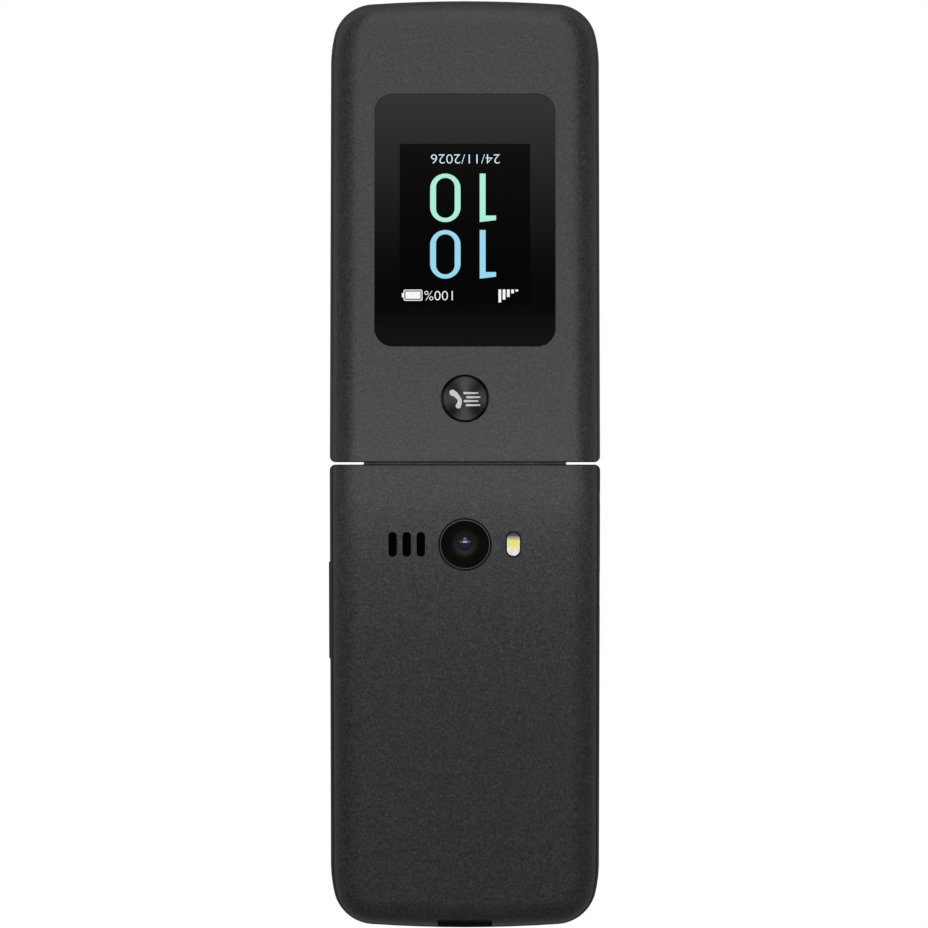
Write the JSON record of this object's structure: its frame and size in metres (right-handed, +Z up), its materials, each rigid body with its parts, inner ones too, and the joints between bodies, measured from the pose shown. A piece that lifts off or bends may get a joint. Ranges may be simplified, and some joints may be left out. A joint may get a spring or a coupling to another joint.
{
  "type": "flip phone",
  "caption": "Clamshell mobile phone lying open: hinged lid with outer and inner displays, keypad base, pressable keys, outer button and rear camera.",
  "frame": {"origin": "centre of the base's plan on the resting face of the back cover, phone open on its back with the keypad up", "axes": "+X to the right seen from the keypad side, +Y from the keypad end to the hinge and lid, +Z up out of the keypad"},
  "size_m": [0.0584, 0.1981, 0.0445],
  "materials": {
    "shell": "satin charcoal coating with a fine metallic fleck",
    "bezel": "gloss black",
    "inner_frame": "moulded black",
    "keypad_face": "fine matt black",
    "keys": "satin dark grey with pale printed signs",
    "call_sign_key": "satin dark grey, green sign",
    "end_sign_key": "satin dark grey, red sign",
    "nav": "dark brushed ring",
    "button": "circular brushed dark metal",
    "ring": "turned, bright edge",
    "lens_glass": "coated",
    "display_glass": "black-edged, polished",
    "display": "black panel",
    "board": "green solder mask",
    "steel": "plain",
    "gold": "gold plated",
    "flash": "frosted white",
    "led": "yellow phosphor",
    "mesh": "fine black cloth",
    "rubber": "soft",
    "battery_wrap": "bare wrap",
    "black": "moulded",
    "flex": "amber film"
  },
  "bodies": {
    "base": {"back_cover": "shell", "rear_frame": "inner_frame", "front_housing": "keypad_face", "main_board": "board", "key_domes": "steel", "shield_cans": "steel", "battery": "battery_wrap", "battery_contacts": "gold", "sim_holder": "steel", "camera_ring": "ring", "camera_window": "lens_glass", "rear_camera": "black", "flash_lens": "flash", "flash_led": "led", "speaker_mesh": "mesh", "loudspeaker": "black", "usb_port": "steel", "audio_jack": "black", "microphone": "steel", "vibration_motor": "steel", "housing_screws": "steel", "hinge_sleeve": "steel", "hinge_shaft": "steel"},
    "lid": {"lid_shell": "shell", "lid_bezel": "bezel", "outer_glass": "display_glass", "outer_display": "display", "main_glass": "display_glass", "main_display": "display", "lid_board": "board", "earpiece": "black", "earpiece_mesh": "mesh", "lid_bumpers": "rubber", "lid_screws": "steel", "lid_magnet": "steel", "hinge_cartridge": "steel", "display_flex": "flex"},
    "key_1": {"key_1": "keys"},
    "key_2": {"key_2": "keys"},
    "key_3": {"key_3": "keys"},
    "key_4": {"key_4": "keys"},
    "key_5": {"key_5": "keys"},
    "key_6": {"key_6": "keys"},
    "key_7": {"key_7": "keys"},
    "key_8": {"key_8": "keys"},
    "key_9": {"key_9": "keys"},
    "key_star": {"key_star": "keys"},
    "key_0": {"key_0": "keys"},
    "key_hash": {"key_hash": "keys"},
    "call_key": {"call_key": "call_sign_key"},
    "clear_key": {"clear_key": "keys"},
    "end_key": {"end_key": "end_sign_key"},
    "soft_key_left": {"soft_key_left": "keys"},
    "soft_key_right": {"soft_key_right": "keys"},
    "nav_rocker": {"nav_rocker": "steel"},
    "nav_ring": {"nav_ring": "nav"},
    "ok_key": {"ok_key": "keys"},
    "volume_key": {"volume_key": "shell"},
    "outer_button": {"outer_button": "button"}
  },
  "joints": [
    {"name": "lid_hinge", "type": "hinge", "parent": "base", "child": "lid", "pos_m": [0, 0.0508, 0.01005], "axis": [1, 0, 0], "range_deg": [0, 160]},
    {"name": "key_1_press", "type": "slide", "parent": "base", "child": "key_1", "axis": [0, 0, -1], "range_m": [0, 0.0004], "stiffness_N_per_m": 800},
    {"name": "key_2_press", "type": "slide", "parent": "base", "child": "key_2", "axis": [0, 0, -1], "range_m": [0, 0.0004], "stiffness_N_per_m": 800},
    {"name": "key_3_press", "type": "slide", "parent": "base", "child": "key_3", "axis": [0, 0, -1], "range_m": [0, 0.0004], "stiffness_N_per_m": 800},
    {"name": "key_4_press", "type": "slide", "parent": "base", "child": "key_4", "axis": [0, 0, -1], "range_m": [0, 0.0004], "stiffness_N_per_m": 800},
    {"name": "key_5_press", "type": "slide", "parent": "base", "child": "key_5", "axis": [0, 0, -1], "range_m": [0, 0.0004], "stiffness_N_per_m": 800},
    {"name": "key_6_press", "type": "slide", "parent": "base", "child": "key_6", "axis": [0, 0, -1], "range_m": [0, 0.0004], "stiffness_N_per_m": 800},
    {"name": "key_7_press", "type": "slide", "parent": "base", "child": "key_7", "axis": [0, 0, -1], "range_m": [0, 0.0004], "stiffness_N_per_m": 800},
    {"name": "key_8_press", "type": "slide", "parent": "base", "child": "key_8", "axis": [0, 0, -1], "range_m": [0, 0.0004], "stiffness_N_per_m": 800},
    {"name": "key_9_press", "type": "slide", "parent": "base", "child": "key_9", "axis": [0, 0, -1], "range_m": [0, 0.0004], "stiffness_N_per_m": 800},
    {"name": "key_star_press", "type": "slide", "parent": "base", "child": "key_star", "axis": [0, 0, -1], "range_m": [0, 0.0004], "stiffness_N_per_m": 800},
    {"name": "key_0_press", "type": "slide", "parent": "base", "child": "key_0", "axis": [0, 0, -1], "range_m": [0, 0.0004], "stiffness_N_per_m": 800},
    {"name": "key_hash_press", "type": "slide", "parent": "base", "child": "key_hash", "axis": [0, 0, -1], "range_m": [0, 0.0004], "stiffness_N_per_m": 800},
    {"name": "call_key_press", "type": "slide", "parent": "base", "child": "call_key", "axis": [0, 0, -1], "range_m": [0, 0.0004], "stiffness_N_per_m": 800},
    {"name": "clear_key_press", "type": "slide", "parent": "base", "child": "clear_key", "axis": [0, 0, -1], "range_m": [0, 0.0004], "stiffness_N_per_m": 800},
    {"name": "end_key_press", "type": "slide", "parent": "base", "child": "end_key", "axis": [0, 0, -1], "range_m": [0, 0.0004], "stiffness_N_per_m": 800},
    {"name": "soft_key_left_press", "type": "slide", "parent": "base", "child": "soft_key_left", "axis": [0, 0, -1], "range_m": [0, 0.0004], "stiffness_N_per_m": 800},
    {"name": "soft_key_right_press", "type": "slide", "parent": "base", "child": "soft_key_right", "axis": [0, 0, -1], "range_m": [0, 0.0004], "stiffness_N_per_m": 800},
    {"name": "ok_key_press", "type": "slide", "parent": "base", "child": "ok_key", "axis": [0, 0, -1], "range_m": [0, 0.0004], "stiffness_N_per_m": 800},
    {"name": "volume_key_press", "type": "slide", "parent": "base", "child": "volume_key", "axis": [-1, 0, 0], "range_m": [0, 0.00035], "stiffness_N_per_m": 800},
    {"name": "outer_button_press", "type": "slide", "parent": "lid", "child": "outer_button", "axis": [0, -0.342, 0.9397], "range_m": [0, 0.00035], "stiffness_N_per_m": 800},
    {"name": "nav_left_right", "type": "hinge", "parent": "base", "child": "nav_rocker", "pos_m": [0, 0.0263, 0.00773], "axis": [0, 1, 0], "range_deg": [-1.5, 1.5], "stiffness_Nm_per_rad": 0.5},
    {"name": "nav_up_down", "type": "hinge", "parent": "nav_rocker", "child": "nav_ring", "pos_m": [0, 0.0263, 0.00788], "axis": [1, 0, 0], "range_deg": [-1.5, 1.5], "stiffness_Nm_per_rad": 0.5}
  ]
}
